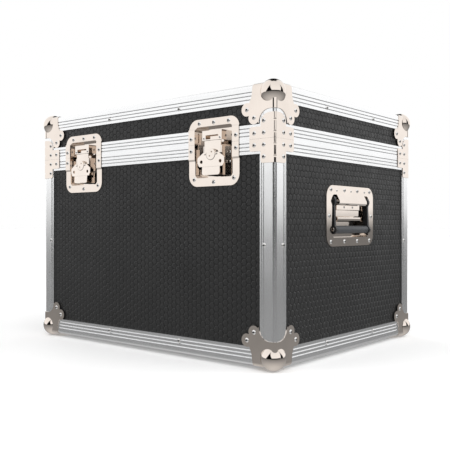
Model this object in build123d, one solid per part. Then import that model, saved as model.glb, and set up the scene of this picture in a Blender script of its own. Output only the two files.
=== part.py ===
from build123d import *
import math
import os

# Size of the case over its aluminium, in millimetres
case_width = 600
case_depth = 475
case_height = 450
lid_height = 88

# Boards and metal
panel_thickness = 9
metal_thickness = 2
sheet_thickness = 1.2
edging_leg = 30
edging_radius = 5
groove_width = 1.8
level_grooves = (12, 18, 24)
upright_grooves = (22.5, 26.5)

# Tongue and groove closure around the joint
closure_leg = 23.7
closure_inner_leg = 18
closure_inner_metal = 1.5
closure_web = 3
closure_grooves = (6, 12, 18)
tongue_inset = 4.2
tongue_width = 4.6
tongue_height = 5
tongue_outer_slope = 7
tongue_inner_slope = 11
tongue_play = 0.3
groove_roof = 1.2

# Ball corners
ball_radius = 21
ball_reach = 7
ball_side_reach = 8.5
ball_wall = 1.5
corner_rib_radius = 5.8
corner_rib_inset = 4.1
corner_rib_start = 17
corner_foot_length = 43
corner_waist = (46, 20)
corner_lobe_radius = 10.8
corner_outer_lobe = (55.2, 39.6)
corner_inner_lobe = (41, 53.6)
corner_arch_height = 41.5
corner_arch_radius = 20
corner_margin = 2
corner_end_lobe = 40

# Braces that wrap the upright edges at the joint
brace_reach = 50
brace_neck_reach = 27.8
brace_neck_radius = 17
brace_wide_height = 19.7
brace_neck_height = 38.8
brace_arch_gap = 6
brace_seam = 0.15
brace_arm_radius = 4
brace_foot_radius = 5
brace_columns = (21.5, 40.5)
brace_rows = (9.6, 28.6)
brace_bend_radius = 1.5
brace_dart_radius = 3.2
brace_dart_depth = 2.4

# Rivets
rivet_radius = 3.8
rivet_rise = 0.5
rivet_pit = 0.42
rivet_pit_depth = 0.8
small_rivet_radius = 2.2
edging_rivet_inset = 22
front_rivet_spacing = 185
side_rivet_spacing = 168
upright_rivet_height = 193

# Butterfly latches in their split dishes
latch_inset = 127.75
latch_outline = (111.5, 114.5)
latch_outline_radius = 19
latch_opening = (83, 87)
latch_opening_radius = 7
latch_outline_drop = 14.25
latch_opening_drop = 13.5
latch_recess = 17
latch_joggle_reach = 25
latch_joggle_run = 3
dish_seam = 0.15
dish_cut_play = 0.4

# Latch works, with depths measured inwards from the face of the aluminium
hub_drop = 18
hub_radius = 9.5
hub_front = -7.25
hub_shaft_radius = 5
hub_shaft_play = 0.05
hub_hole_place = (2.2, 3.4)
hub_hole_radius = 1.5
hub_hole_depth = 1.5
cam_radius = 8
cam_offset = 4
cam_play = 1.2
cam_head_gap = 0.5
works_gap = 0.3
hook_metal = 1.6
hook_width = 36
hook_top = 5
hook_bottom = -34
claw_span = (-5, 13)
claw_rise = 7
bracket_front = 0.2
bracket_metal = 2
bracket_width = 41
bracket_top = -4
bracket_bottom = -53
bracket_foot = 9
guide_width = 2
guide_play = 0.3
guide_height = 12
swage_radius = 6.5
swage_gap = 0.3
swage_height = 1
wing_pin_radius = 1.5
wing_pin_depth = -5
wing_pin_reach = 14
wing_front = -6.8
wing_metal = 1.6
wing_gap = 0.8
wing_ear_radius = 2.6
wing_shoulder = (16.5, 2.6)
wing_half_width = 29.5
wing_sides = (-6, -15)
wing_foot = -21
wing_foot_inset = 4
wing_corner_radius = 2.5
wing_hole_radius = 3
wing_hole_place = (20.9, 12.7)
wing_tab_half_width = 19.5
wing_tab_height = 14
wing_tab_lift = 1.1
wing_tab_step = 0.8
wing_tab_overlap = 1
wing_tab_radius = 4
keeper_metal = 1.6
keeper_width = 43
keeper_bottom = 5.5
keeper_top = 22
keeper_foot = 13
keeper_slot = (28, 7)
keeper_slot_rise = 10.7
keeper_face_rivet = (17.5, 9)
keeper_foot_rivet_rise = 14
bracket_rivet_drops = (14, 30)
dish_side_rivet_rise = 10.5
dish_end_rivet_reach = {-1: 44, 1: 32.5}
lower_corner_rivet_rise = 5.5

# Sprung handles in their dishes
handle_height = 241
handle_outline = (168, 108)
handle_outline_radius = 20
handle_opening = (132, 76)
handle_opening_radius = 8
handle_recess = 18
axle_rise = 29
axle_depth = 4
axle_radius = 3
axle_play = 0.05
arm_centre = 60
arm_thickness = 5
arm_eye_radius = 6.5
arm_width = 9
arm_stop_gap = 0.1
arm_stop_height = 4
arm_stop_slope = 14
grip_drop = 24.3
grip_depth = 2
grip_radius = 7
grip_core_radius = 4
bail_foot_radius = 8
grip_end_gap = 0.5
hood_reach = 5
hood_half_width = 49.5
hood_metal = 1.2
hood_root = 2
hood_drops = (11, 15, 18)
hood_lip_depth = -2
spring_radius = 5.2
spring_bore_play = 0.3
spring_half_length = 26
cover_half_width = 41
cover_drop = 8.5
cover_metal = 1.5
cover_ledge_depth = 6.4
cover_face_depth = 8
cover_bead_depth = 4
cover_step_drops = (9, 10)
cover_bead_drops = (20.5, 22.5, 25, 28.5, 30.5)
cover_rivet_place = (15, 13)
handle_rivet_columns = (-69.5, -23.2, 23.2, 69.5)
handle_rivet_rows = (-45.5, 46.5)
handle_side_rivet = 75
hood_rivet_columns = (-50, 0, 50)
hood_rivet_rise = 45

# Lid hinges on the back
hinge_spacing = 344
hinge_width = 70
hinge_leaf_height = 22
hinge_leaf_metal = 2
knuckle_radius = 3.5
knuckle_face_gap = 0.25
knuckle_side_gap = 0.2
hinge_pin_radius = 1.75
hinge_pin_play = 0.05
hinge_centre_width = 24
hinge_leaf_gap = 0.3
hinge_pin_head = 1.2
lid_opening_angle = 100
heel_height = 10
heel_reach = 4.2
hinge_rivet_places = ((17, 9), (27, 15.5))

# Values that follow from the sizes above
half_width = case_width / 2
half_depth = case_depth / 2
joint_height = case_height - lid_height
inside = metal_thickness + panel_thickness
closure_inner_face = inside + closure_inner_metal
groove_inset = tongue_inset - tongue_play
groove_end = tongue_inset + tongue_width + tongue_play
groove_rise = tongue_height + groove_roof
lid_web = groove_rise + closure_web
flange_front = metal_thickness - sheet_thickness
hub_height = joint_height - hub_drop
bracket_back = bracket_front + bracket_metal
hook_front = bracket_front - works_gap - hook_metal
cam_front = hook_front - cam_head_gap
keeper_front = hook_front - works_gap - keeper_metal
latch_places = (latch_inset - half_width, half_width - latch_inset)
hinge_places = (-hinge_spacing / 2, hinge_spacing / 2)
handle_top = handle_height + handle_opening[1] / 2
axle_height = handle_height + axle_rise
grip_height = handle_height - grip_drop
hinge_axis_depth = -(knuckle_radius + knuckle_face_gap)
side_reaches = {"front": half_width, "right": half_depth, "back": half_width, "left": half_depth}


# Helpers for placing shapes
def block(low, high):
    size = [high[i] - low[i] for i in range(3)]
    return Pos(*low) * Box(*size, align=(Align.MIN, Align.MIN, Align.MIN))


def facing(outline, start, end):
    """Carries an outline drawn in width and height from one depth to another."""
    return Pos(0, start, 0) * extrude(Plane.XZ * outline, amount=end - start, dir=(0, 1, 0))


def profile(outline, low, high):
    """Carries an outline drawn in depth and height along the width."""
    return Pos(low, 0, 0) * extrude(Plane.YZ * outline, amount=high - low, dir=(1, 0, 0))


def standing(outline, low, high):
    """Carries an outline drawn in width and depth along the height."""
    return Pos(0, 0, low) * extrude(outline, amount=high - low, dir=(0, 0, 1))


def on_side(shape, side):
    """Moves a shape drawn with its back to the plane y = 0, y inwards, to one side."""
    turn = {"front": 0, "right": 90, "back": 180, "left": -90}[side]
    reach = half_depth if side in ("front", "back") else half_width
    return Rot(0, 0, turn) * Pos(0, -reach, 0) * shape


def at_corners(shape):
    """Copies a shape drawn at an origin corner to the four upright edges."""
    first = Pos(-half_width, -half_depth, 0) * shape
    pair = [first, mirror(first, about=Plane.YZ)]
    return pair + [mirror(one, about=Plane.XZ) for one in pair]


def upside_down(shape):
    """Turns a shape drawn on the underside of the case to its top."""
    return Pos(0, 0, case_height) * mirror(shape, about=Plane.XY)


def group(shapes):
    return Compound([solid for shape in shapes for solid in shape.solids()])


# Boards
def latch_cut(place):
    width, height = [size + 2 * (sheet_thickness + dish_cut_play) for size in latch_opening]
    outline = RectangleRounded(width, height, latch_opening_radius + sheet_thickness)
    prism = facing(outline, -10, 2 * inside)
    return Pos(place, 0, joint_height - latch_opening_drop) * prism


def handle_cut():
    width, height = [size + 2 * (sheet_thickness + dish_cut_play) for size in handle_opening]
    outline = RectangleRounded(width, height, handle_opening_radius + sheet_thickness)
    return Pos(0, 0, handle_height) * facing(outline, -10, 2 * inside)


def wall(side, low, high, cuts=()):
    reach = half_width - metal_thickness if side in ("front", "back") else half_depth - inside
    board = block((-reach, metal_thickness, low), (reach, inside, high))
    for cut in cuts:
        board -= cut
    return on_side(board, side)


def level_board(low):
    reach_x = half_width - metal_thickness
    reach_y = half_depth - metal_thickness
    return block((-reach_x, -reach_y, low), (reach_x, reach_y, low + panel_thickness))


def make_boards():
    latch_cuts = [latch_cut(place) for place in latch_places]
    wall_cuts = {"front": latch_cuts, "back": [], "left": [handle_cut()], "right": [handle_cut()]}
    boards = {"floor_panel": level_board(metal_thickness)}
    boards["lid_top_panel"] = level_board(case_height - inside)
    for side, cuts in wall_cuts.items():
        lid_cuts = cuts if side == "front" else []
        boards[f"base_{side}_panel"] = wall(side, inside, joint_height - closure_web, cuts)
        boards[f"lid_{side}_panel"] = wall(side, joint_height + lid_web, case_height - inside, lid_cuts)
    return boards


# Aluminium edging
def angle_section(grooves):
    leg = edging_leg
    metal = metal_thickness
    points = [(0, 0), (leg, 0), (leg, metal), (metal, metal), (metal, leg), (0, leg)]
    section = Polygon(*points, align=None)
    section = fillet(section.vertices().sort_by_distance((0, 0, 0))[0], edging_radius)
    side = groove_width / math.sqrt(2)
    notch = Rectangle(side, side, rotation=45)
    for place in grooves:
        section -= Pos(place, 0) * notch
        section -= Pos(0, place) * notch
    return section


def level_edging():
    bars = []
    for side, reach in side_reaches.items():
        length = reach - edging_leg
        bars.append(on_side(profile(angle_section(level_grooves), -length, length), side))
    return bars


def upright_edging(low, high):
    return at_corners(standing(angle_section(upright_grooves), low, high))


# Closure profiles, which lock the lid to the base all the way round
def band(outer, inner, low, high, radius=0):
    width = case_width - 2 * outer
    depth = case_depth - 2 * outer
    outline = RectangleRounded(width, depth, radius) if radius else Rectangle(width, depth)
    outline -= Rectangle(case_width - 2 * inner, case_depth - 2 * inner)
    return standing(outline, low, high)


def closure_lines(direction):
    """Notches that run round the joint, each left between two cones that meet at its root."""
    half = groove_width / 2
    surface = RectangleRounded(case_width, case_depth, edging_radius)
    narrowing = extrude(surface, amount=half, taper=45)
    lines = []
    for place in closure_grooves:
        middle = joint_height + direction * place
        line = standing(Rectangle(case_width + 2, case_depth + 2), middle - half, middle + half)
        line -= Pos(0, 0, middle - half) * narrowing
        line -= Pos(0, 0, middle + half) * mirror(narrowing, about=Plane.XY)
        lines.append(line)
    return lines


def mitred(ring):
    """Cuts a ring into its four bars, mitred at the corners, and clears the latch dishes."""
    for place in latch_places:
        ring -= on_side(latch_cut(place), "front")
    depth = 2 * closure_inner_face
    bars = []
    for side, reach in side_reaches.items():
        wedge = Polygon(
            (-reach - 1, -1), (reach + 1, -1), (reach - depth, depth), (depth - reach, depth), align=None
        )
        prism = standing(wedge, joint_height - lid_height, case_height)
        bars.append(ring & on_side(prism, side))
    return bars


def base_closure():
    tongue_end = tongue_inset + tongue_width
    outer = Rectangle(case_width - 2 * tongue_inset, case_depth - 2 * tongue_inset)
    inner = Rectangle(case_width - 2 * tongue_end, case_depth - 2 * tongue_end)
    tongue = extrude(outer, amount=tongue_height, taper=tongue_outer_slope)
    tongue -= extrude(inner, amount=tongue_height, taper=-tongue_inner_slope)
    ring = band(0, metal_thickness, joint_height - closure_leg, joint_height, edging_radius)
    ring += band(0, closure_inner_face, joint_height - closure_web, joint_height, edging_radius)
    ring += band(inside, closure_inner_face, joint_height - closure_inner_leg, joint_height)
    ring += Pos(0, 0, joint_height) * tongue
    for line in closure_lines(-1):
        ring -= line
    return mitred(ring)


def lid_closure():
    ring = band(0, metal_thickness, joint_height, joint_height + closure_leg, edging_radius)
    ring += band(0, closure_inner_face, joint_height, joint_height + lid_web, edging_radius)
    ring += band(inside, closure_inner_face, joint_height, joint_height + closure_inner_leg)
    ring -= band(groove_inset, groove_end, joint_height, joint_height + groove_rise)
    for line in closure_lines(1):
        ring -= line
    return mitred(ring)


# Ball corners, drawn at an origin corner with the case towards +x, +y and +z
def side_plate_outline():
    waist_x, waist_z = corner_waist
    outer_x, outer_z = corner_outer_lobe
    inner_x, inner_z = corner_inner_lobe
    leg = edging_leg + 1
    shoulder = corner_arch_height + corner_arch_radius
    margin = corner_margin
    core = Polygon(
        (-margin, -margin),
        (corner_foot_length, -margin),
        (waist_x, waist_z),
        (outer_x, outer_z),
        (inner_x, inner_z),
        (leg, inner_z + corner_lobe_radius - 1),
        (-margin, inner_z + corner_lobe_radius - 1),
        align=None,
    )
    plate = core + Pos(outer_x, outer_z) * Circle(corner_lobe_radius)
    plate += Pos(inner_x, inner_z) * Circle(corner_lobe_radius)
    arch = Rectangle(leg + margin, 2 * case_height, align=(Align.MAX, Align.MIN))
    arch = Pos(leg, corner_arch_height) * arch
    arch -= Pos(leg, corner_arch_height) * Rectangle(2 * corner_arch_radius, 2 * corner_arch_radius)
    arch += Pos(leg - corner_arch_radius, shoulder) * Circle(corner_arch_radius)
    return plate - arch


def end_plate_outline():
    waist_x, waist_z = corner_waist
    place = corner_end_lobe
    foot = corner_foot_length
    margin = corner_margin
    core = Polygon(
        (-margin, -margin),
        (foot, -margin),
        (waist_x, waist_z),
        (place, place),
        (waist_z, waist_x),
        (-margin, foot),
        align=None,
    )
    return core + Pos(place, place) * Circle(corner_lobe_radius)


def rounded_corner(offset, radius):
    """The corner of the case, grown by an offset, with its three edges rounded."""
    reach = case_height / 2
    corner = block((-offset, -offset, -offset), (reach, reach, reach))
    meeting = corner.edges().sort_by_distance((-offset, -offset, -offset))[:3]
    return fillet(meeting, radius)


def ball_corner():
    """Three plates bent from one sheet, a rib down the upright edge and a hollow ball."""
    side_inset = ball_radius - ball_side_reach
    centre = Pos(side_inset, side_inset, ball_radius - ball_reach)
    diagonal = Plane(origin=(0, 0, 0), z_dir=(1, -1, 0))
    body = rounded_corner(0, edging_radius)
    shell = rounded_corner(sheet_thickness, edging_radius + sheet_thickness) - body
    side_prism = facing(side_plate_outline(), -corner_margin, edging_radius)
    end_prism = standing(end_plate_outline(), -corner_margin, edging_radius)
    shape = shell & (side_prism + mirror(side_prism, about=diagonal) + end_prism)
    inset = corner_rib_inset
    rib_length = corner_arch_height - corner_rib_start
    shape += Pos(inset, inset, corner_rib_start) * Cylinder(
        corner_rib_radius, rib_length, align=(Align.CENTER, Align.CENTER, Align.MIN)
    )
    shape += centre * Sphere(ball_radius)
    shape -= centre * Sphere(ball_radius - ball_wall)
    return shape - body


# Braces, drawn at an origin corner
def brace_outline():
    reach = brace_reach
    neck_top = case_height - corner_arch_height - brace_arch_gap
    neck_low = joint_height - brace_neck_height
    neck = block((-reach, -reach, neck_low), (brace_neck_reach, 2 * reach, neck_top))
    arm_low = joint_height - brace_wide_height
    arm = block((-reach, -reach, arm_low), (reach, 2 * reach, arm_low + 2 * brace_wide_height))
    corners = [edge for edge in neck.edges().filter_by(Axis.Y) if edge.center().X > 0]
    neck = fillet([edge for edge in corners if edge.center().Z > joint_height], brace_neck_radius)
    corners = [edge for edge in neck.edges().filter_by(Axis.Y) if edge.center().X > 0]
    neck = fillet([edge for edge in corners if edge.center().Z < joint_height], brace_foot_radius)
    corners = [edge for edge in arm.edges().filter_by(Axis.Y) if edge.center().X > 0]
    return neck + fillet(corners, brace_arm_radius)


def dart_rod(radius, height):
    """A level rod that lies across the bend of a brace."""
    place = (brace_dart_depth - brace_dart_radius) / math.sqrt(2) - sheet_thickness
    return Pos(place, place, height) * Rot(0, 0, -45) * Rot(0, 90, 0) * Cylinder(radius, brace_reach)


def brace_halves():
    """A sheet bent round the edge, with a dart pressed into the bend at each row of rivets."""
    diagonal = Plane(origin=(0, 0, 0), z_dir=(1, -1, 0))
    reach = brace_reach
    size = 2 * (reach + sheet_thickness)
    middle = Pos(reach, reach)
    outer_plan = middle * RectangleRounded(size, size, brace_bend_radius + sheet_thickness)
    inner_plan = middle * RectangleRounded(2 * reach, 2 * reach, brace_bend_radius)
    outside = standing(outer_plan, 0, case_height)
    outline = brace_outline()
    brace = (outside - standing(inner_plan, 0, case_height)) & outline
    brace = brace & mirror(outline, about=diagonal)
    for row in brace_rows:
        for height in (joint_height - row, joint_height + row):
            brace += dart_rod(brace_dart_radius + sheet_thickness, height) & outside
            brace -= dart_rod(brace_dart_radius, height)
    lower = brace & block((-reach, -reach, 0), (reach, reach, joint_height - brace_seam))
    upper = brace & block((-reach, -reach, joint_height + brace_seam), (reach, reach, case_height))
    return lower, upper


# Rivet heads, drawn with the flat side on y = 0 and the dome towards -y
def rivet_head(radius):
    height = radius * rivet_rise
    pit_radius = radius * rivet_pit
    sphere_radius = (radius**2 + height**2) / (2 * height)
    centre = sphere_radius - height
    rim = centre - math.sqrt(sphere_radius**2 - pit_radius**2)
    middle = (radius + pit_radius) / 2
    crown = centre - math.sqrt(sphere_radius**2 - middle**2)
    floor = height * (rivet_pit_depth - 1)
    outline = Polyline((pit_radius, rim), (pit_radius, floor), (0, floor), (0, 0), (radius, 0))
    outline += ThreePointArc((radius, 0), (middle, crown), (pit_radius, rim))
    return revolve(make_face(outline), Axis.Y)


def rivets_at(head, places, depth):
    return [Pos(x, depth, z) * head for x, z in places]


def edging_rivet_rows(head):
    """Rivets of the level edging, on its upright leg and its flat leg, at the underside."""
    heads = []
    flat = Rot(90, 0, 0) * head
    for side in ("front", "right", "back", "left"):
        spacing = front_rivet_spacing if side in ("front", "back") else side_rivet_spacing
        for x in (-spacing / 2, spacing / 2):
            heads.append(on_side(Pos(x, 0, edging_rivet_inset) * head, side))
            heads.append(on_side(Pos(x, edging_rivet_inset, 0) * flat, side))
    return heads


def corner_rivets(head, places, depth):
    """Rivets at places measured from an upright edge, on both faces beside it."""
    diagonal = Plane(origin=(0, 0, 0), z_dir=(1, -1, 0))
    heads = rivets_at(head, places, depth)
    heads += [mirror(one, about=diagonal) for one in heads]
    return [copy for one in heads for copy in at_corners(one)]


def ball_corner_rivets(head):
    heads = corner_rivets(head, (corner_outer_lobe, corner_inner_lobe), -sheet_thickness)
    place = corner_end_lobe
    flat = Pos(place, place, -sheet_thickness) * Rot(90, 0, 0) * head
    return heads + at_corners(flat)


def brace_rivets(head, direction):
    near, far = brace_rows
    inner, outer = brace_columns
    places = [(inner, near), (inner, far), (outer, near)]
    places = [(x, joint_height + direction * z) for x, z in places]
    return corner_rivets(head, places, -sheet_thickness)


# Latch dishes, drawn on the front with their middle at x = 0
def joggled(inner_depth):
    """A side outline: proud over the closure band, level with the boards above and below it."""
    low = joint_height - latch_joggle_reach
    high = joint_height + latch_joggle_reach
    run = latch_joggle_run
    front = [
        (flange_front, 0),
        (flange_front, low - run),
        (-sheet_thickness, low),
        (-sheet_thickness, high),
        (flange_front, high + run),
        (flange_front, case_height),
    ]
    if inner_depth:
        back = [(inner_depth, case_height), (inner_depth, 0)]
    else:
        back = [(y + sheet_thickness, z) for y, z in reversed(front)]
    return Polygon(*front, *back, align=None)


def latch_dish():
    outline_height = joint_height - latch_outline_drop
    opening_height = joint_height - latch_opening_drop
    reach = latch_outline[0]
    outline = facing(RectangleRounded(*latch_outline, latch_outline_radius), -10, 10)
    opening = RectangleRounded(*latch_opening, latch_opening_radius)
    pan_size = [size + 2 * sheet_thickness for size in latch_opening]
    pan = facing(RectangleRounded(*pan_size, latch_opening_radius + sheet_thickness), -10, 60)
    flange = profile(joggled(0), -reach, reach) & (Pos(0, 0, outline_height) * outline)
    well = profile(joggled(latch_recess + sheet_thickness), -reach, reach)
    well = well & (Pos(0, 0, opening_height) * pan)
    return flange + well - Pos(0, 0, opening_height) * facing(opening, -10, latch_recess)


def bent_bracket(width, metal, front, low, high, foot):
    """A hat-shaped strip: a raised plate, two legs down to the dish floor and two feet."""
    half = width / 2
    floor = latch_recess
    outline = Polygon(
        (-half - foot, floor - metal),
        (-half, floor - metal),
        (-half, front),
        (half, front),
        (half, floor - metal),
        (half + foot, floor - metal),
        (half + foot, floor),
        (half - metal, floor),
        (half - metal, front + metal),
        (metal - half, front + metal),
        (metal - half, floor),
        (-half - foot, floor),
        align=None,
    )
    return standing(outline, joint_height + low, joint_height + high)


def latch_bracket():
    foot = bracket_foot - bracket_metal
    shape = bent_bracket(bracket_width, bracket_metal, bracket_front, bracket_bottom, bracket_top, foot)
    inner = hook_width / 2 + guide_play
    guide_low = joint_height + bracket_top - guide_height
    for direction in (-1, 1):
        edges = sorted((direction * inner, direction * (inner + guide_width)))
        guide_high = guide_low + guide_height
        shape += block((edges[0], hook_front, guide_low), (edges[1], bracket_front, guide_high))
    bore = Circle(hub_shaft_radius + hub_shaft_play)
    return shape - Pos(0, 0, hub_height) * facing(bore, bracket_front - 1, bracket_back + 1)


def latch_hub():
    swage_front = bracket_back + swage_gap
    shape = facing(Circle(hub_radius), hub_front, cam_front)
    shape += Pos(0, 0, -cam_offset) * facing(Circle(cam_radius), cam_front, 0)
    shape += facing(Circle(hub_shaft_radius), 0, swage_front)
    shape += facing(Circle(swage_radius), swage_front, swage_front + swage_height)
    shape = Pos(0, 0, hub_height) * shape
    for direction in (-1, 1):
        place = Pos(direction * hub_hole_place[0], 0, hub_height + direction * hub_hole_place[1])
        shape -= place * facing(Circle(hub_hole_radius), hub_front, hub_front + hub_hole_depth)
    bore = Rot(0, 90, 0) * Cylinder(wing_pin_radius + hub_shaft_play, 3 * hub_radius)
    return shape - Pos(0, wing_pin_depth, hub_height) * bore


def latch_hook():
    """The pull plate, with the cam's window and the claw that stands behind the keeper's slot."""
    half = hook_width / 2
    left, right = claw_span
    shoulder = joint_height + hook_top
    back = hook_front + hook_metal
    shape = block((-half, hook_front, joint_height + hook_bottom), (half, back, shoulder))
    shape += block((left, hook_front, shoulder - 1), (right, back, shoulder + claw_rise))
    window_width = 2 * (cam_radius + cam_offset + works_gap)
    window = Rectangle(window_width, 2 * (cam_radius + cam_play))
    return shape - Pos(0, 0, hub_height - cam_offset) * facing(window, hook_front - 1, back + 1)


def latch_wing():
    half = wing_half_width
    shoulder_x, shoulder_z = wing_shoulder
    side_top, side_low = wing_sides
    foot = half - wing_foot_inset
    outline = Polygon(
        (-shoulder_x, shoulder_z),
        (-half, side_top),
        (-half, side_low),
        (-foot, wing_foot),
        (foot, wing_foot),
        (half, side_low),
        (half, side_top),
        (shoulder_x, shoulder_z),
        align=None,
    )
    rounded = outline.vertices().filter_by_position(Axis.X, -half, -foot)
    rounded += outline.vertices().filter_by_position(Axis.X, foot, half)
    outline = fillet(rounded, wing_corner_radius)
    notch_radius = hub_radius + wing_gap
    outline -= Circle(notch_radius)
    outline -= Rectangle(2 * notch_radius, notch_radius, align=(Align.CENTER, Align.MIN))
    hole_x, hole_drop = wing_hole_place
    for direction in (-1, 1):
        outline -= Pos(direction * hole_x, -hole_drop) * Circle(wing_hole_radius)
    plate = facing(outline, wing_front, wing_front + wing_metal)
    ear_width = wing_pin_reach - notch_radius
    for direction in (-1, 1):
        place = Pos(direction * (notch_radius + ear_width / 2), wing_pin_depth, 0)
        plate += place * Rot(0, 90, 0) * Cylinder(wing_ear_radius, ear_width)
    front = wing_front + wing_tab_step
    lifted = front - wing_tab_lift
    tab_top = wing_foot + wing_tab_overlap
    tab_low = wing_foot - wing_tab_height
    tab = Polygon(
        (front, tab_top),
        (lifted, tab_low),
        (lifted + wing_metal, tab_low),
        (front + wing_metal, tab_top),
        align=None,
    )
    tab = profile(tab, -wing_tab_half_width, wing_tab_half_width)
    tab = fillet(tab.edges().filter_by(Axis.Y, tolerance=6).sort_by(Axis.Z)[:2], wing_tab_radius)
    shape = plate + tab
    shape -= Pos(0, wing_pin_depth, 0) * Rot(0, 90, 0) * Cylinder(wing_pin_radius, 3 * wing_pin_reach)
    return Pos(0, 0, hub_height) * shape


def wing_pin():
    return Pos(0, wing_pin_depth, hub_height) * Rot(0, 90, 0) * Cylinder(wing_pin_radius, 2 * wing_pin_reach)


def latch_keeper():
    shape = bent_bracket(keeper_width, keeper_metal, keeper_front, keeper_bottom, keeper_top, keeper_foot)
    slot = RectangleRounded(*keeper_slot, 1)
    return shape - Pos(0, 0, joint_height + keeper_slot_rise) * facing(slot, keeper_front - 1, 2)


def latch_rivets(place, direction, head, small_head):
    """Rivet heads of the lower half (direction -1) or the upper half (direction 1)."""
    side_x = (latch_outline[0] + latch_opening[0]) / 4 + 1
    end_low = joint_height - latch_outline_drop - (latch_outline[1] + latch_opening[1]) / 4
    end_high = joint_height - latch_outline_drop + (latch_outline[1] + latch_opening[1]) / 4
    end_z = end_high if direction > 0 else end_low
    end_x = dish_end_rivet_reach[direction]
    corner_z = end_z if direction > 0 else end_z + lower_corner_rivet_rise
    side_z = joint_height + direction * dish_side_rivet_rise
    heads = rivets_at(head, [(side_x, side_z), (-side_x, side_z)], -sheet_thickness)
    heads += rivets_at(head, [(0, end_z), (end_x, corner_z), (-end_x, corner_z)], flange_front)
    floor_head_depth = latch_recess - (keeper_metal if direction > 0 else bracket_metal)
    if direction > 0:
        foot_x = (keeper_width + keeper_foot) / 2
        feet = [(x, joint_height + keeper_foot_rivet_rise) for x in (-foot_x, foot_x)]
        face_x, face_rise = keeper_face_rivet
        places = [(x, joint_height + face_rise) for x in (-face_x, face_x)]
        heads += rivets_at(small_head, places, keeper_front)
    else:
        foot_x = (bracket_width + bracket_foot - bracket_metal) / 2
        feet = [(x, joint_height - drop) for x in (-foot_x, foot_x) for drop in bracket_rivet_drops]
    heads += rivets_at(small_head, feet, floor_head_depth)
    return [on_side(Pos(place, 0, 0) * one, "front") for one in heads]


# Handles, drawn on one side with their middle at x = 0
def hood_strip():
    """A bent strip from the top of the opening down over the axle, with a lip turned back in."""
    slope_end, lip_start, lip_end = [handle_top - drop for drop in hood_drops]
    root = handle_top + hood_root
    inner = hood_metal - hood_reach
    bend = hood_metal / 3
    outline = Polygon(
        (flange_front, root),
        (flange_front, handle_top),
        (-hood_reach, slope_end),
        (-hood_reach, lip_start),
        (hood_lip_depth, lip_end),
        (hood_lip_depth + bend, lip_end + hood_metal),
        (inner, lip_start + bend),
        (inner, slope_end - bend),
        (metal_thickness, handle_top + bend),
        (metal_thickness, root),
        align=None,
    )
    return profile(outline, -hood_half_width, hood_half_width)


def handle_dish():
    opening = RectangleRounded(*handle_opening, handle_opening_radius)
    pan_size = [size + 2 * sheet_thickness for size in handle_opening]
    pan = RectangleRounded(*pan_size, handle_opening_radius + sheet_thickness)
    outline = RectangleRounded(*handle_outline, handle_outline_radius)
    shape = facing(outline, flange_front, metal_thickness)
    shape += facing(pan, flange_front, handle_recess + sheet_thickness)
    shape -= facing(opening, -10, handle_recess)
    shape = Pos(0, 0, handle_height) * shape + hood_strip()
    bore = Rot(0, 90, 0) * Cylinder(axle_radius + axle_play, 2 * handle_outline[0])
    within = block((-pan_size[0], flange_front, 0), (pan_size[0], handle_recess, case_height))
    return shape - (Pos(0, axle_depth, axle_height) * bore & within)


def handle_axle():
    length = handle_opening[0] + 2 * sheet_thickness
    return Pos(0, axle_depth, axle_height) * Rot(0, 90, 0) * Cylinder(axle_radius, length)


def handle_spring():
    bore = axle_radius + spring_bore_play
    sleeve = Cylinder(spring_radius, 2 * spring_half_length) - Cylinder(bore, 2 * spring_half_length)
    return Pos(0, axle_depth, axle_height) * Rot(0, 90, 0) * sleeve


def spring_cover():
    """The stepped plate in the middle of the dish, with a rounded bead along its foot."""
    top = axle_height - cover_drop
    metal = cover_metal
    bend = metal / 2.5
    step_top, step_low = [top - drop for drop in cover_step_drops]
    bead_top, bead_start, bead_middle, bead_end, foot = [top - drop for drop in cover_bead_drops]
    shoulder = cover_bead_depth + bend
    outline = Polygon(
        (handle_recess, top),
        (cover_ledge_depth, top),
        (cover_ledge_depth, step_top),
        (cover_face_depth, step_low),
        (cover_face_depth, bead_top),
        (shoulder, bead_start),
        (cover_bead_depth, bead_middle),
        (shoulder, bead_end),
        (cover_face_depth - 1, foot),
        (handle_recess, foot),
        (handle_recess, foot + metal),
        (cover_face_depth, foot + metal),
        (shoulder + metal, bead_end + bend),
        (cover_bead_depth + metal, bead_middle),
        (shoulder + metal, bead_start - bend),
        (cover_face_depth + metal, bead_top - bend),
        (cover_face_depth + metal, step_low + bend),
        (cover_ledge_depth + metal, step_top + bend),
        (cover_ledge_depth + metal, top - metal),
        (handle_recess, top - metal),
        align=None,
    )
    return profile(outline, -cover_half_width, cover_half_width)


def handle_bail():
    """Two arms and a core, with stops that meet the rounded top corners of the opening."""
    inner = arm_centre - arm_thickness / 2
    outer = arm_centre + arm_thickness / 2
    into_corner = max(0, outer + handle_opening_radius - handle_opening[0] / 2)
    corner_drop = handle_opening_radius - math.sqrt(handle_opening_radius**2 - into_corner**2)
    stop_reach = handle_top - axle_height - corner_drop - arm_stop_gap
    half = arm_width / 2
    eye = Pos(axle_depth, axle_height) * Circle(arm_eye_radius)
    foot = Pos(grip_depth, grip_height) * Circle(bail_foot_radius)
    bar = Polygon(
        (axle_depth - half, axle_height),
        (axle_depth + half, axle_height),
        (grip_depth + half, grip_height),
        (grip_depth - half, grip_height),
        align=None,
    )
    shoulder = Polygon(
        (axle_depth, axle_height),
        (axle_depth - stop_reach, axle_height),
        (axle_depth - stop_reach, axle_height - arm_stop_height),
        (axle_depth - half + 1, axle_height - arm_stop_slope),
        (axle_depth, axle_height - arm_stop_slope),
        align=None,
    )
    outline = eye + foot + bar + shoulder
    outline -= Pos(axle_depth, axle_height) * Circle(axle_radius + axle_play)
    shape = profile(outline, inner, outer) + profile(outline, -outer, -inner)
    core = Pos(0, grip_depth, grip_height) * Rot(0, 90, 0) * Cylinder(grip_core_radius, 2 * inner)
    return shape + core


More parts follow.
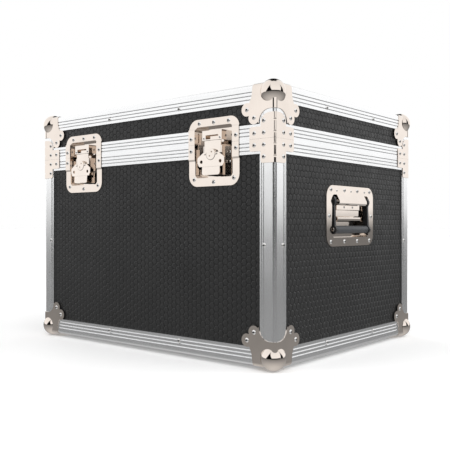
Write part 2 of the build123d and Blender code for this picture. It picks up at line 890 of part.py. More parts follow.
def handle_grip():
    length = 2 * (arm_centre - arm_thickness / 2 - grip_end_gap)
    sleeve = Cylinder(grip_radius, length) - Cylinder(grip_core_radius, length)
    return Pos(0, grip_depth, grip_height) * Rot(0, 90, 0) * sleeve


def handle_rivets(side, head, small_head):
    rows = [(x, handle_height + z) for x in handle_rivet_columns for z in handle_rivet_rows]
    sides = [(x, handle_height) for x in (-handle_side_rivet, handle_side_rivet)]
    strip = [(x, handle_height + hood_rivet_rise) for x in hood_rivet_columns]
    cover_x, cover_rivet_drop = cover_rivet_place
    cover = [(x, axle_height - cover_rivet_drop) for x in (-cover_x, cover_x)]
    heads = rivets_at(head, rows + sides, flange_front)
    heads += rivets_at(small_head, strip, flange_front)
    heads += rivets_at(small_head, cover, cover_ledge_depth)
    return [on_side(one, side) for one in heads]


# Hinges, drawn on the back with their middle at x = 0 and the joint at height 0
def radial(angle, length):
    turn = math.radians(angle)
    return (hinge_axis_depth - length * math.cos(turn), length * math.sin(turn))


def heel_outline():
    """The stop beside the pin: its lower face lies along half the opening angle."""
    angle = lid_opening_angle / 2
    start = radial(angle, knuckle_radius * 0.6)
    tip = radial(angle, heel_reach / math.cos(math.radians(angle)))
    outline = Polygon(
        start,
        tip,
        (hinge_axis_depth - heel_reach, heel_height),
        (0, heel_height + 3),
        (0, start[1]),
        align=None,
    )
    return outline


def hinge_half(end_knuckles):
    """One leaf, drawn above the joint, with either its two end knuckles or its middle one."""
    half = hinge_width / 2
    middle = hinge_centre_width / 2
    clear = knuckle_radius + knuckle_face_gap
    tube = Pos(hinge_axis_depth, 0) * Circle(knuckle_radius)
    neck = Pos(hinge_axis_depth, 0) * Rectangle(
        knuckle_radius + knuckle_face_gap, hinge_leaf_gap + clear, align=(Align.MIN, Align.MIN)
    )
    neck = neck - Pos(hinge_axis_depth, 0) * Circle(knuckle_radius - 0.5)
    neck -= Rectangle(hinge_width, 2 * hinge_leaf_gap)
    leaf = block((-half, -hinge_leaf_metal, clear), (half, 0, hinge_leaf_height))
    heel = heel_outline() - Pos(hinge_axis_depth, 0) * Circle(clear)
    spans = [(-half, -middle - knuckle_side_gap), (middle + knuckle_side_gap, half)]
    if not end_knuckles:
        spans = [(-middle, middle)]
        heel = heel_outline() - Pos(hinge_axis_depth, 0) * Circle(knuckle_radius - 0.5)
    shape = leaf + profile(heel, -middle, middle)
    for low, high in spans:
        shape += profile(tube + neck, low, high)
    bore = Rot(0, 90, 0) * Cylinder(hinge_pin_radius + hinge_pin_play, 2 * hinge_width)
    return shape - Pos(0, hinge_axis_depth, 0) * bore


def place_hinge(shape, place):
    return on_side(Pos(place, 0, joint_height) * shape, "back")


def hinge_pin():
    length = hinge_width + 2 * hinge_pin_play
    pin = Cylinder(hinge_pin_radius, length)
    for direction in (-1, 1):
        middle = direction * (length + hinge_pin_head) / 2
        pin += Pos(0, 0, middle) * Cylinder(hinge_pin_radius + 1, hinge_pin_head)
    return Pos(0, hinge_axis_depth, 0) * Rot(0, 90, 0) * pin


def hinge_rivets(place, direction, head):
    (near_x, near_z), (far_x, far_z) = hinge_rivet_places
    places = [(-far_x, far_z), (-near_x, near_z), (near_x, near_z), (far_x, far_z)]
    places = [(x, direction * z) for x, z in places]
    return [place_hinge(one, place) for one in rivets_at(head, places, -hinge_leaf_metal)]


# Every piece of the case, by the name of its node
def make_pieces():
    pieces = make_boards()
    bottom_edging = level_edging()
    pieces["base_bottom_edging"] = group(bottom_edging)
    pieces["lid_top_edging"] = group([upside_down(bar) for bar in bottom_edging])
    pieces["base_corner_edging"] = group(upright_edging(edging_leg, joint_height - closure_leg))
    pieces["lid_corner_edging"] = group(upright_edging(joint_height + closure_leg, case_height - edging_leg))
    pieces["base_closure_profile"] = group(base_closure())
    pieces["lid_closure_profile"] = group(lid_closure())
    corners = at_corners(ball_corner())
    pieces["base_ball_corners"] = group(corners)
    pieces["lid_ball_corners"] = group([upside_down(corner) for corner in corners])
    lower_brace, upper_brace = brace_halves()
    pieces["base_corner_braces"] = group(at_corners(lower_brace))
    pieces["lid_corner_braces"] = group(at_corners(upper_brace))

    dish = latch_dish()
    reach = latch_outline[0]
    below = block((-reach, -reach, 0), (reach, reach, joint_height - dish_seam))
    above = block((-reach, -reach, joint_height + dish_seam), (reach, reach, case_height))
    latch = {
        "lower_dish": dish & below,
        "upper_dish": dish & above,
        "bracket": latch_bracket(),
        "hub": latch_hub(),
        "hook": latch_hook(),
        "wing": latch_wing(),
        "wing_pin": wing_pin(),
        "keeper": latch_keeper(),
    }
    for name, place in zip(("left", "right"), latch_places):
        for piece, shape in latch.items():
            pieces[f"{name}_latch_{piece}"] = on_side(Pos(place, 0, 0) * shape, "front")

    handle = {
        "dish": handle_dish(),
        "spring_cover": spring_cover(),
        "spring": handle_spring(),
        "axle": handle_axle(),
        "bail": handle_bail(),
        "grip": handle_grip(),
    }
    for side in ("left", "right"):
        for piece, shape in handle.items():
            pieces[f"{side}_handle_{piece}"] = on_side(shape, side)

    base_leaf = mirror(hinge_half(True), about=Plane.XY)
    lid_leaf = hinge_half(False)
    for name, place in zip(("right", "left"), hinge_places):
        pieces[f"{name}_hinge_base_leaf"] = place_hinge(base_leaf, place)
        pieces[f"{name}_hinge_lid_leaf"] = place_hinge(lid_leaf, place)
        pieces[f"{name}_hinge_pin"] = place_hinge(hinge_pin(), place)

    head = rivet_head(rivet_radius)
    small_head = rivet_head(small_rivet_radius)
    base_rivets = edging_rivet_rows(head) + ball_corner_rivets(head) + brace_rivets(head, -1)
    base_rivets += corner_rivets(head, [(brace_columns[0], upright_rivet_height)], 0)
    lid_rivets = [upside_down(one) for one in edging_rivet_rows(head) + ball_corner_rivets(head)]
    lid_rivets += brace_rivets(head, 1)
    for place in latch_places:
        base_rivets += latch_rivets(place, -1, head, small_head)
        lid_rivets += latch_rivets(place, 1, head, small_head)
    for place in hinge_places:
        base_rivets += hinge_rivets(place, -1, small_head)
        lid_rivets += hinge_rivets(place, 1, small_head)
    for side in ("left", "right"):
        base_rivets += handle_rivets(side, head, small_head)
    pieces["base_rivets"] = group(base_rivets)
    pieces["lid_rivets"] = group(lid_rivets)
    return pieces


# The balls of the bottom corners stand on z = 0, so the aluminium starts above it
os.makedirs("parts", exist_ok=True)
for node, piece in make_pieces().items():
    export_step(Pos(0, 0, ball_reach) * piece, f"parts/{node}.step")
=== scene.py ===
import math

import bpy
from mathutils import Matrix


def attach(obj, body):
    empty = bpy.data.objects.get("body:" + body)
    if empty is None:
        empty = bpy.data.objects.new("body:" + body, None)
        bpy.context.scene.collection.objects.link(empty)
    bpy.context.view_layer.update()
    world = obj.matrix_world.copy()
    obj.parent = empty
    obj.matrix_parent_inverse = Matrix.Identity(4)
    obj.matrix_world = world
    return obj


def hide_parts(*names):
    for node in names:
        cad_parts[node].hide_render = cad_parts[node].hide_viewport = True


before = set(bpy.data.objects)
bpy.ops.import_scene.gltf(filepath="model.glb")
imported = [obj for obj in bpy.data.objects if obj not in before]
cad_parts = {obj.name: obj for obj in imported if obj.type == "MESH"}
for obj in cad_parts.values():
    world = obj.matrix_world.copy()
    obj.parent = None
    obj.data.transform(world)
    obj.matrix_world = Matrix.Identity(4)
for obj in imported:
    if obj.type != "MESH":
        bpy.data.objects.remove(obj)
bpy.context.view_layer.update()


# Camera
# A level camera at half the height of the case. It faces the upright edge between the latches
# and a handle, and all upright lines stay parallel.
camera_turn = math.radians(39.95)
camera_data = bpy.data.cameras.new("camera")
camera_data.sensor_width = 36
camera_data.lens = 54.66
camera = bpy.data.objects.new("camera", camera_data)
camera.location = (0.9243, -1.1046, 0.232)
camera.rotation_euler = (math.radians(90), 0, camera_turn)
bpy.context.scene.collection.objects.link(camera)
bpy.context.scene.camera = camera
bpy.context.scene.view_settings.view_transform = "Standard"


# Studio room
# White walls and ceiling. Two tall gaps, a low strip along the horizon and a strip of ceiling
# behind the case stay dark between the soft boxes, and show as dark shapes in polished metal.
shade_straight_down = (0.8, 0.79, 0.78, 1)
shade_straight_up = (1.1, 1.1, 1.1, 1)
# Each shade stands at a share of the way from straight down to straight up.
shades_between = ((0.25, 0.5), (0.4, 0.34), (0.497, 0.22), (0.512, 1.24), (0.75, 1.2))
gap_black = (0.004, 0.004, 0.004, 1)


def math_node(tree, operation, first, second=None, third=None):
    node = tree.nodes.new("ShaderNodeMath")
    node.operation = operation
    for socket, value in zip(node.inputs, (first, second, third)):
        if isinstance(value, (int, float)):
            socket.default_value = value
        elif value is not None:
            tree.links.new(value, socket)
    return node.outputs[0]


def past(tree, value, start, sharpness):
    """A ramp that rises from 0 as the value passes its start."""
    return math_node(tree, "MULTIPLY_ADD", value, sharpness, -sharpness * start)


def short_of(tree, value, end, sharpness):
    """A ramp that falls to 0 as the value reaches its end."""
    return math_node(tree, "MULTIPLY_ADD", value, -sharpness, sharpness * end)


def away_from(tree, value, middle):
    return math_node(tree, "ABSOLUTE", math_node(tree, "SUBTRACT", value, middle))


def soft_mask(tree, *ramps):
    """The product of ramps that are each cut off below 0 and above 1."""
    product = 1.0
    for ramp in ramps:
        kept = math_node(tree, "MINIMUM", math_node(tree, "MAXIMUM", ramp, 0), 1)
        product = math_node(tree, "MULTIPLY", kept, product)
    return product


def tall_gap(tree, azimuth, height, middle, half_width, top):
    """1 inside a tall triangle that stands on the horizon, with its turns in degrees."""
    half = math.radians(half_width)
    narrowing = math_node(tree, "MULTIPLY_ADD", height, -half / top, half)
    off = away_from(tree, azimuth, math.radians(middle))
    side_sharpness = 14
    inside = math_node(
        tree, "MULTIPLY", math_node(tree, "SUBTRACT", narrowing, off), side_sharpness
    )
    return soft_mask(tree, inside, past(tree, height, start=-0.01, sharpness=40))


def low_strip(tree, azimuth, height, middle, half_width, low, high):
    """1 inside a strip along the horizon, with its turns in degrees."""
    off = away_from(tree, azimuth, math.radians(middle))
    return soft_mask(
        tree,
        short_of(tree, off, end=math.radians(half_width), sharpness=12),
        past(tree, height, start=low, sharpness=40),
        short_of(tree, height, end=high, sharpness=30),
    )


room = bpy.data.worlds.new("room")
room.use_nodes = True
bpy.context.scene.world = room
tree = room.node_tree
tree.nodes.clear()
direction = tree.nodes.new("ShaderNodeTexCoord").outputs["Generated"]
facing = tree.nodes.new("ShaderNodeMapping")
facing.inputs["Rotation"].default_value = (0, 0, -camera_turn)
tree.links.new(direction, facing.inputs["Vector"])
parts = tree.nodes.new("ShaderNodeSeparateXYZ")
tree.links.new(facing.outputs[0], parts.inputs[0])
sideways, behind, height = parts.outputs["X"], parts.outputs["Y"], parts.outputs["Z"]
azimuth = math_node(tree, "ARCTAN2", sideways, math_node(tree, "MULTIPLY", behind, -1))
left_gap = tall_gap(tree, azimuth, height, middle=-42, half_width=30, top=0.9)
right_gap = tall_gap(tree, azimuth, height, middle=77, half_width=19, top=0.85)
horizon = low_strip(tree, azimuth, height, middle=-5, half_width=67, low=-0.03, high=0.14)
ceiling = soft_mask(
    tree,
    short_of(tree, away_from(tree, sideways, middle=0.05), end=0.27, sharpness=9),
    past(tree, behind, start=0.05, sharpness=6),
    past(tree, height, start=0.25, sharpness=6),
)
gaps = left_gap
for gap in (right_gap, horizon, ceiling):
    gaps = math_node(tree, "MAXIMUM", gaps, gap)
heights = tree.nodes.new("ShaderNodeValToRGB")
lowest, highest = heights.color_ramp.elements
lowest.position, lowest.color = 0.0, shade_straight_down
highest.position, highest.color = 1.0, shade_straight_up
for position, shade in shades_between:
    stop = heights.color_ramp.elements.new(position)
    stop.color = (shade, shade, shade, 1)
share_of_height = math_node(tree, "MULTIPLY_ADD", height, 0.5, 0.5)
tree.links.new(share_of_height, heights.inputs[0])
darkened = tree.nodes.new("ShaderNodeMix")
darkened.data_type = "RGBA"
darkened.inputs["B"].default_value = gap_black
tree.links.new(gaps, darkened.inputs["Factor"])
tree.links.new(heights.outputs[0], darkened.inputs["A"])
room_light = tree.nodes.new("ShaderNodeBackground")
tree.links.new(darkened.outputs["Result"], room_light.inputs["Color"])
seen_white = tree.nodes.new("ShaderNodeBackground")
seen_white.inputs["Color"].default_value = (1, 1, 1, 1)
seen = tree.nodes.new("ShaderNodeLightPath").outputs["Is Camera Ray"]
blend = tree.nodes.new("ShaderNodeMixShader")
tree.links.new(seen, blend.inputs[0])
tree.links.new(room_light.outputs[0], blend.inputs[1])
tree.links.new(seen_white.outputs[0], blend.inputs[2])
output = tree.nodes.new("ShaderNodeOutputWorld")
tree.links.new(blend.outputs[0], output.inputs["Surface"])


# Floor and soft boxes
# A plain pale floor that isn't mirrored in the metal, and two large soft lamps above the case:
# the stronger one on the handle's side.
floor_size = 80
floor_white = (0.95, 0.95, 0.95, 1)
floor_glow = 0.1
bpy.ops.object.select_all(action="DESELECT")
bpy.ops.mesh.primitive_plane_add(size=floor_size, location=(0, 0, 0))
floor = bpy.context.object
floor.name = "studio_floor"
floor_paint = bpy.data.materials.new("pale_floor")
floor_paint.use_nodes = True
floor_shader = floor_paint.node_tree.nodes["Principled BSDF"]
floor_shader.inputs["Base Color"].default_value = floor_white
floor_shader.inputs["Emission Color"].default_value = (1, 1, 1, 1)
floor_shader.inputs["Emission Strength"].default_value = floor_glow
floor_shader.inputs["Roughness"].default_value = 0.8
floor_shader.inputs["Specular IOR Level"].default_value = 0.1
floor.data.materials.append(floor_paint)
floor.visible_glossy = False
for name, place, size, power in (
    ("side_lamp", (2.4, 0.6, 1.9), 1.8, 26),
    ("front_lamp", (-0.8, -2.4, 2.2), 2.0, 16),
):
    lamp_data = bpy.data.lights.new(name, "AREA")
    lamp_data.shape = "SQUARE"
    lamp_data.size = size
    lamp_data.energy = power
    lamp = bpy.data.objects.new(name, lamp_data)
    lamp.location = place
    lamp.rotation_euler = (-lamp.location).to_track_quat("-Z", "Y").to_euler()
    lamp.visible_glossy = False
    bpy.context.scene.collection.objects.link(lamp)


# Laminated boards
# Plywood faced on both sides with a charcoal laminate that is pressed with a fine honeycomb of
# raised cells. The same board makes the walls, the floor and the top of the lid.
cell_across_flats = 0.0114
cell_groove = 0.16
cell_relief = 0.0006
cell_tones = ((0.0125, 0.0126, 0.0128), (0.0185, 0.0186, 0.0188))
groove_tone = (0.0045, 0.0045, 0.0046, 1)
laminate_shine = 0.34


def link_value(tree, value, socket):
    if isinstance(value, bpy.types.NodeSocket):
        tree.links.new(value, socket)
    else:
        socket.default_value = value


def node_group(name, inputs, outputs):
    group = bpy.data.node_groups.new(name, "ShaderNodeTree")
    for label, kind in inputs:
        group.interface.new_socket(label, in_out="INPUT", socket_type=kind)
    for label, kind in outputs:
        group.interface.new_socket(label, in_out="OUTPUT", socket_type=kind)
    return group, group.nodes.new("NodeGroupInput"), group.nodes.new("NodeGroupOutput")


def vector_node(tree, operation, first, second=None):
    node = tree.nodes.new("ShaderNodeVectorMath")
    node.operation = operation
    link_value(tree, first, node.inputs[0])
    if second is not None:
        link_value(tree, second, node.inputs[1])
    return node.outputs["Value" if operation == "DOT_PRODUCT" else "Vector"]


# A honeycomb is two grids of oblong tiles, set half a tile apart, with the nearer middle kept.
honeycomb, given, result = node_group(
    "honeycomb",
    (("Place", "NodeSocketVector"), ("Groove", "NodeSocketFloat")),
    (("Height", "NodeSocketFloat"),),
)
tile_height = math.sqrt(3)
half_tile = (0.5, tile_height / 2, 0)
edges = []
for shift in ((0, 0, 0), half_tile):
    moved = vector_node(honeycomb, "ADD", given.outputs["Place"], shift)
    tiles = vector_node(honeycomb, "DIVIDE", moved, (1.0, tile_height, 1.0))
    inside_tile = vector_node(honeycomb, "FRACTION", tiles)
    offset = vector_node(honeycomb, "SUBTRACT", inside_tile, (0.5, 0.5, 0.5))
    cell = vector_node(honeycomb, "MULTIPLY", offset, (1.0, tile_height, 0.0))
    from_centre = vector_node(honeycomb, "ABSOLUTE", cell)
    slanted = vector_node(honeycomb, "DOT_PRODUCT", from_centre, half_tile)
    straight = vector_node(honeycomb, "DOT_PRODUCT", from_centre, (1, 0, 0))
    edges.append(math_node(honeycomb, "MAXIMUM", slanted, straight))
from_middle = math_node(honeycomb, "MINIMUM", *edges)
rim = math_node(honeycomb, "SUBTRACT", 0.5, from_middle)
rise = honeycomb.nodes.new("ShaderNodeMapRange")
rise.interpolation_type = "SMOOTHSTEP"
honeycomb.links.new(rim, rise.inputs["Value"])
honeycomb.links.new(given.outputs["Groove"], rise.inputs["From Max"])
honeycomb.links.new(rise.outputs["Result"], result.inputs["Height"])

# Clouded patches between a low and a high value.
uneven, given, result = node_group(
    "uneven",
    (
        ("Place", "NodeSocketVector"),
        ("Scale", "NodeSocketFloat"),
        ("Low", "NodeSocketFloat"),
        ("High", "NodeSocketFloat"),
    ),
    (("Value", "NodeSocketFloat"),),
)
cloud = uneven.nodes.new("ShaderNodeTexNoise")
cloud.inputs["Detail"].default_value = 4
uneven.links.new(given.outputs["Place"], cloud.inputs["Vector"])
uneven.links.new(given.outputs["Scale"], cloud.inputs["Scale"])
spread = uneven.nodes.new("ShaderNodeMapRange")
spread.inputs["From Min"].default_value = 0.3
spread.inputs["From Max"].default_value = 0.7
uneven.links.new(cloud.outputs[0], spread.inputs["Value"])
uneven.links.new(given.outputs["Low"], spread.inputs["To Min"])
uneven.links.new(given.outputs["High"], spread.inputs["To Max"])
uneven.links.new(spread.outputs["Result"], result.inputs["Value"])


def placed(tree, group, **values):
    node = tree.nodes.new("ShaderNodeGroup")
    node.node_tree = group
    for label, value in values.items():
        link_value(tree, value, node.inputs[label])
    return node.outputs[0]


def new_finish(name):
    finish = bpy.data.materials.new(name)
    finish.use_nodes = True
    tree = finish.node_tree
    place = tree.nodes.new("ShaderNodeTexCoord").outputs["Object"]
    return finish, tree, tree.nodes["Principled BSDF"], place


def colour_between(tree, factor, low, high):
    mix = tree.nodes.new("ShaderNodeMix")
    mix.data_type = "RGBA"
    tree.links.new(factor, mix.inputs["Factor"])
    mix.inputs["A"].default_value = (*low, 1)
    mix.inputs["B"].default_value = (*high, 1)
    return mix.outputs["Result"]


def bumped(tree, shader, height, distance, strength=1.0):
    bump = tree.nodes.new("ShaderNodeBump")
    bump.inputs["Distance"].default_value = distance
    bump.inputs["Strength"].default_value = strength
    tree.links.new(height, bump.inputs["Height"])
    tree.links.new(bump.outputs["Normal"], shader.inputs["Normal"])


def dress(finish, *names):
    for name in names:
        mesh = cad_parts[name].data
        mesh.materials.clear()
        mesh.materials.append(finish)


def laminate(name, turn):
    """The laminate of boards that face one way: the turn, in degrees, lays its pattern flat."""
    finish, tree, shader, place = new_finish(name)
    face = tree.nodes.new("ShaderNodeMapping")
    face.inputs["Rotation"].default_value = [math.radians(angle) for angle in turn]
    face.inputs["Scale"].default_value = (1 / cell_across_flats,) * 3
    tree.links.new(place, face.inputs["Vector"])
    cells = placed(tree, honeycomb, Place=face.outputs[0], Groove=cell_groove)
    patches = placed(tree, uneven, Place=place, Scale=9.0, Low=0.0, High=1.0)
    worn = placed(tree, uneven, Place=place, Scale=40.0, Low=0.36, High=0.5)
    tone = tree.nodes.new("ShaderNodeMix")
    tone.data_type = "RGBA"
    tone.inputs["A"].default_value = groove_tone
    tree.links.new(cells, tone.inputs["Factor"])
    tree.links.new(colour_between(tree, patches, *cell_tones), tone.inputs["B"])
    tree.links.new(tone.outputs["Result"], shader.inputs["Base Color"])
    tree.links.new(worn, shader.inputs["Roughness"])
    shader.inputs["Specular IOR Level"].default_value = laminate_shine
    bumped(tree, shader, cells, cell_relief)
    return finish


front_laminate = laminate("laminate_front", (90, 0, 90))
side_laminate = laminate("laminate_side", (-90, -90, 0))
level_laminate = laminate("laminate_level", (0, 0, 0))
dress(
    front_laminate, "base_front_panel", "base_back_panel", "lid_front_panel", "lid_back_panel"
)
dress(
    side_laminate, "base_left_panel", "base_right_panel", "lid_left_panel", "lid_right_panel"
)
dress(level_laminate, "floor_panel", "lid_top_panel")


# Aluminium edging and closure profiles
# Extruded aluminium angle with fine lengthwise grooves, anodised bright and riveted to the
# boards. The closure profiles of the lid and the base go all the way round the joint.
half_width, half_depth = 0.3, 0.2375
line_fineness = 900.0
line_stretch = 0.004
line_depth = 0.00001
line_strength = 0.4
aluminium_tones = ((0.79, 0.794, 0.80), (0.865, 0.868, 0.872))

# Fine lines run along X on the front and the back, and along Y on the two sides.
drawn, given, result = node_group(
    "drawn_lines",
    (("Place", "NodeSocketVector"), ("Fineness", "NodeSocketFloat")),
    (("Lines", "NodeSocketFloat"),),
)
along_x = drawn.nodes.new("ShaderNodeTexNoise")
along_y = drawn.nodes.new("ShaderNodeTexNoise")
for noise, stretch in ((along_x, (line_stretch, 1, 1)), (along_y, (1, line_stretch, 1))):
    stretched = vector_node(drawn, "MULTIPLY", given.outputs["Place"], stretch)
    drawn.links.new(stretched, noise.inputs["Vector"])
    drawn.links.new(given.outputs["Fineness"], noise.inputs["Scale"])
apart = drawn.nodes.new("ShaderNodeSeparateXYZ")
drawn.links.new(given.outputs["Place"], apart.inputs[0])
out_sideways = math_node(drawn, "ABSOLUTE", apart.outputs["X"])
out_forwards = math_node(drawn, "ABSOLUTE", apart.outputs["Y"])
from_side = math_node(drawn, "SUBTRACT", half_width, out_sideways)
from_front = math_node(drawn, "SUBTRACT", half_depth, out_forwards)
on_the_side = math_node(drawn, "LESS_THAN", from_side, from_front)
pick = drawn.nodes.new("ShaderNodeMix")
drawn.links.new(on_the_side, pick.inputs["Factor"])
drawn.links.new(along_x.outputs[0], pick.inputs["A"])
drawn.links.new(along_y.outputs[0], pick.inputs["B"])
drawn.links.new(pick.outputs["Result"], result.inputs["Lines"])


def noise_at(tree, place, scale):
    noise = tree.nodes.new("ShaderNodeTexNoise")
    noise.inputs["Scale"].default_value = scale
    tree.links.new(place, noise.inputs["Vector"])
    return noise.outputs[0]


def aluminium(name, upright):
    finish, tree, shader, place = new_finish(name)
    if upright:
        stretched = vector_node(tree, "MULTIPLY", place, (1, 1, line_stretch))
        lines = noise_at(tree, stretched, line_fineness)
    else:
        lines = placed(tree, drawn, Place=place, Fineness=line_fineness)
    tree.links.new(colour_between(tree, lines, *aluminium_tones), shader.inputs["Base Color"])
    shader.inputs["Metallic"].default_value = 1
    worn = placed(tree, uneven, Place=place, Scale=14.0, Low=0.2, High=0.25)
    tree.links.new(worn, shader.inputs["Roughness"])
    bumped(tree, shader, lines, line_depth, line_strength)
    return finish


level_aluminium = aluminium("anodised_level", upright=False)
upright_aluminium = aluminium("anodised_upright", upright=True)
dress(level_aluminium, "base_bottom_edging", "lid_top_edging")
dress(level_aluminium, "base_closure_profile", "lid_closure_profile")
dress(upright_aluminium, "base_corner_edging", "lid_corner_edging")


# Ball corners and braces
# Pressed steel, nickel plated and polished, so that the balls mirror the room, and riveted on.
# The braces wrap the upright edges where the lid meets the base.
nickel_tones = ((0.70, 0.63, 0.572), (0.75, 0.674, 0.612))


def grained(name, tones, patch_scale, gloss, gloss_scale, grain_scale, depth, strength):
    """A finish in patches between two tones and two roughnesses, with a fine grain in relief."""
    finish, tree, shader, place = new_finish(name)
    patches = placed(tree, uneven, Place=place, Scale=patch_scale, Low=0.0, High=1.0)
    tree.links.new(colour_between(tree, patches, *tones), shader.inputs["Base Color"])
    smooth, dull = gloss
    worn = placed(tree, uneven, Place=place, Scale=gloss_scale, Low=smooth, High=dull)
    tree.links.new(worn, shader.inputs["Roughness"])
    bumped(tree, shader, noise_at(tree, place, grain_scale), depth, strength)
    return finish


def plated(name, tones, gloss):
    finish = grained(
        name,
        tones,
        patch_scale=30.0,
        gloss=gloss,
        gloss_scale=120.0,
        grain_scale=1400,
        depth=0.00001,
        strength=0.4,
    )
    finish.node_tree.nodes["Principled BSDF"].inputs["Metallic"].default_value = 1
    return finish


ball_nickel = plated("polished_nickel", nickel_tones, gloss=(0.03, 0.06))
sheet_nickel = plated("pressed_nickel", nickel_tones, gloss=(0.04, 0.07))
dress(ball_nickel, "base_ball_corners", "lid_ball_corners")
dress(sheet_nickel, "base_corner_braces", "lid_corner_braces")


# Butterfly latches
# Two pressed dishes share one opening, half in the lid and half in the base. The hub turns a
# cam, which pulls the hook down behind the keeper, and the wing folds flat over it.
works_tones = ((0.73, 0.663, 0.605), (0.78, 0.712, 0.654))
works_nickel = plated("latch_nickel", works_tones, gloss=(0.04, 0.08))
for side in ("left", "right"):
    dress(sheet_nickel, f"{side}_latch_lower_dish", f"{side}_latch_upper_dish")
    for piece in ("bracket", "hub", "hook", "wing", "wing_pin", "keeper"):
        dress(works_nickel, f"{side}_latch_{piece}")


# Handles
# A pressed dish with a hood over the axle. The black bail hangs from the axle, a torsion spring
# folds it back, and a rubber sleeve covers its core.
axle_x, axle_z = 0.296, 0.277
grip_x, grip_z = 0.298, 0.2237
arm_face = 0.0625
coil_radius = 0.0042
coil_turns = 27.5
coil_length = 0.0504
coil_steps = 550
wire_radius = 0.0008
wire_sides = 10
spring_leg = 0.0138
sleeve_length = 0.114
sleeve_radius = 0.007
sleeve_wall = 0.0028
sleeve_rounding = 0.0011
screw_radius = 0.0036
screw_rise = 0.0014
screw_rounding = 0.0005
socket_inset = 0.0019
socket_depth = 0.0009
smooth_angle = math.radians(40)
lying_along_y = (math.radians(90), 0, 0)

bail_black = grained(
    "bail_black",
    ((0.010, 0.010, 0.011), (0.018, 0.018, 0.019)),
    patch_scale=60.0,
    gloss=(0.28, 0.4),
    gloss_scale=300.0,
    grain_scale=1800,
    depth=0.00004,
    strength=0.6,
)
grip_rubber = grained(
    "grip_rubber",
    ((0.034, 0.036, 0.040), (0.046, 0.049, 0.054)),
    patch_scale=80.0,
    gloss=(0.42, 0.56),
    gloss_scale=500.0,
    grain_scale=2200,
    depth=0.00005,
    strength=0.7,
)
spring_tones = ((0.34, 0.33, 0.32), (0.46, 0.45, 0.44))
spring_wire = plated("spring_wire", spring_tones, gloss=(0.2, 0.32))


def finished(piece, name, finish, body):
    """Fixes the place of a new piece, and gives it its name, its finish and its body."""
    bpy.ops.object.transform_apply(location=True, rotation=True, scale=True)
    bpy.ops.object.shade_smooth_by_angle(angle=smooth_angle)
    piece.name = name
    piece.data.materials.append(finish)
    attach(piece, body)
    bpy.ops.object.select_all(action="DESELECT")


def select_points(piece, chosen):
    """Leaves edit mode open with only the chosen points selected."""
    bpy.ops.object.mode_set(mode="EDIT")
    bpy.ops.mesh.select_mode(type="VERT")
    bpy.ops.mesh.select_all(action="DESELECT")
    bpy.ops.object.mode_set(mode="OBJECT")
    for point in piece.data.vertices:
        point.select = chosen(point.co)
    bpy.ops.object.mode_set(mode="EDIT")


def rounded(piece, width, segments):
    rounding = piece.modifiers.new("rounding", "BEVEL")
    rounding.width = width
    rounding.segments = segments
    bpy.ops.object.modifier_apply(modifier="rounding")


def torsion_spring():
    """Wire wound round the axle, with a leg at each end that presses on the floor of the dish."""
    bpy.ops.mesh.primitive_circle_add(
        vertices=wire_sides, radius=wire_radius, rotation=lying_along_y
    )
    coil = bpy.context.object
    coil.location.x = coil_radius
    bpy.ops.object.transform_apply(location=True, rotation=True, scale=True)
    winding = coil.modifiers.new("winding", "SCREW")
    winding.angle = math.tau * coil_turns
    winding.screw_offset = coil_length
    winding.steps = coil_steps
    winding.render_steps = coil_steps
    bpy.ops.object.modifier_apply(modifier="winding")
    hair = 0.00001
    for side, height in ((1, 0), (-1, coil_length)):
        select_points(
            coil,
            lambda place: (
                abs(place.y) < hair
                and place.x * side > 0
                and abs(place.z - height) < wire_radius + 5 * hair
            ),
        )
        bpy.ops.mesh.extrude_region_move(TRANSFORM_OT_translate={"value": (0, -spring_leg, 0)})
        bpy.ops.mesh.edge_face_add()
        bpy.ops.object.mode_set(mode="OBJECT")
    bpy.ops.object.mode_set(mode="EDIT")
    bpy.ops.mesh.select_all(action="SELECT")
    bpy.ops.mesh.normals_make_consistent(inside=False)
    bpy.ops.object.mode_set(mode="OBJECT")
    return coil


def rubber_sleeve():
    """A moulded tube with rounded ends."""
    bpy.ops.mesh.primitive_cylinder_add(
        vertices=48,
        radius=sleeve_radius,
        depth=sleeve_length,
        end_fill_type="NOTHING",
        rotation=lying_along_y,
    )
    sleeve = bpy.context.object
    wall = sleeve.modifiers.new("wall", "SOLIDIFY")
    wall.thickness = sleeve_wall
    bpy.ops.object.modifier_apply(modifier="wall")
    rounded(sleeve, sleeve_rounding, segments=4)
    return sleeve


def button_screw(outwards):
    """A low round head with a socket, which holds the core of the grip to an arm."""
    bpy.ops.mesh.primitive_cylinder_add(
        vertices=32, radius=screw_radius, depth=screw_rise, rotation=lying_along_y
    )
    screw = bpy.context.object
    bpy.ops.object.transform_apply(location=True, rotation=True, scale=True)
    select_points(screw, lambda place: place.y * outwards > 0)
    bpy.ops.mesh.inset(thickness=socket_inset)
    bpy.ops.mesh.extrude_region_move(
        TRANSFORM_OT_translate={"value": (0, -socket_depth * outwards, 0)}
    )
    bpy.ops.object.mode_set(mode="OBJECT")
    rounded(screw, screw_rounding, segments=3)
    return screw


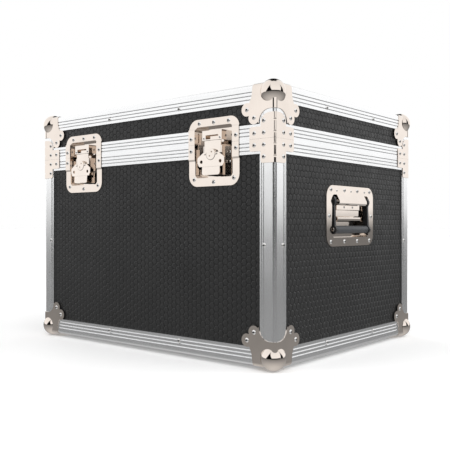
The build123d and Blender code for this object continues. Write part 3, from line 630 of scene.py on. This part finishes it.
bpy.ops.object.select_all(action="DESELECT")
for side, outwards in (("left", -1), ("right", 1)):
    dress(sheet_nickel, f"{side}_handle_dish", f"{side}_handle_spring_cover")
    dress(works_nickel, f"{side}_handle_axle")
    dress(spring_wire, f"{side}_handle_spring")
    dress(bail_black, f"{side}_handle_bail")
    dress(grip_rubber, f"{side}_handle_grip")
    coil = torsion_spring()
    coil.rotation_euler = (math.radians(-90), math.radians(-90 * outwards), 0)
    coil.location = (axle_x * outwards, -coil_length / 2, axle_z)
    finished(coil, f"{side}_handle_coil", spring_wire, "base")
    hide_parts(f"{side}_handle_spring")
    sleeve = rubber_sleeve()
    sleeve.location = (grip_x * outwards, 0, grip_z)
    finished(sleeve, f"{side}_handle_sleeve", grip_rubber, f"{side}_handle")
    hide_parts(f"{side}_handle_grip")
    for end, along in (("front", -1), ("back", 1)):
        screw = button_screw(along)
        screw.location = (grip_x * outwards, along * (arm_face + screw_rise / 2), grip_z)
        finished(
            screw, f"{side}_handle_screw_{end}", works_nickel, f"{side}_handle"
        )


# Hinges
# Two plated steel stop hinges, riveted to the edging on the back. Each has two leaves on one
# pin, and their heels meet when the lid stands open, and hold it there.
for side in ("left", "right"):
    dress(sheet_nickel, f"{side}_hinge_base_leaf", f"{side}_hinge_lid_leaf")
    dress(works_nickel, f"{side}_hinge_pin")


# Rivets
# Steel tubular rivets, brighter than the metal that they hold. The hollow in each head is deep,
# and its shade is painted as a near-black colour on its flat bottom: the part of a rivet that
# faces squarely outwards.
rivet_tones = ((0.72, 0.71, 0.70), (0.82, 0.81, 0.80))
painted_hollow_shade = (0.02, 0.02, 0.02, 1)
squarely = 0.99
rivet_metal = plated("rivet_metal", rivet_tones, gloss=(0.04, 0.07))
tree = rivet_metal.node_tree
shader = tree.nodes["Principled BSDF"]
head_tone = shader.inputs["Base Color"].links[0].from_socket
normal = tree.nodes.new("ShaderNodeTexCoord").outputs["Normal"]
facings = tree.nodes.new("ShaderNodeSeparateXYZ")
tree.links.new(vector_node(tree, "ABSOLUTE", normal), facings.inputs[0])
most = math_node(tree, "MAXIMUM", facings.outputs["X"], facings.outputs["Y"])
most = math_node(tree, "MAXIMUM", most, facings.outputs["Z"])
# Painted shade: every face that points squarely along an axis, which is the flat bottom of each
# hollow, gets a near-black colour.
hollow_shade_mix = tree.nodes.new("ShaderNodeMix")
hollow_shade_mix.data_type = "RGBA"
hollow_shade_mix.inputs["B"].default_value = painted_hollow_shade
tree.links.new(math_node(tree, "GREATER_THAN", most, squarely), hollow_shade_mix.inputs["Factor"])
tree.links.new(head_tone, hollow_shade_mix.inputs["A"])
tree.links.new(hollow_shade_mix.outputs["Result"], shader.inputs["Base Color"])
dress(rivet_metal, "base_rivets", "lid_rivets")
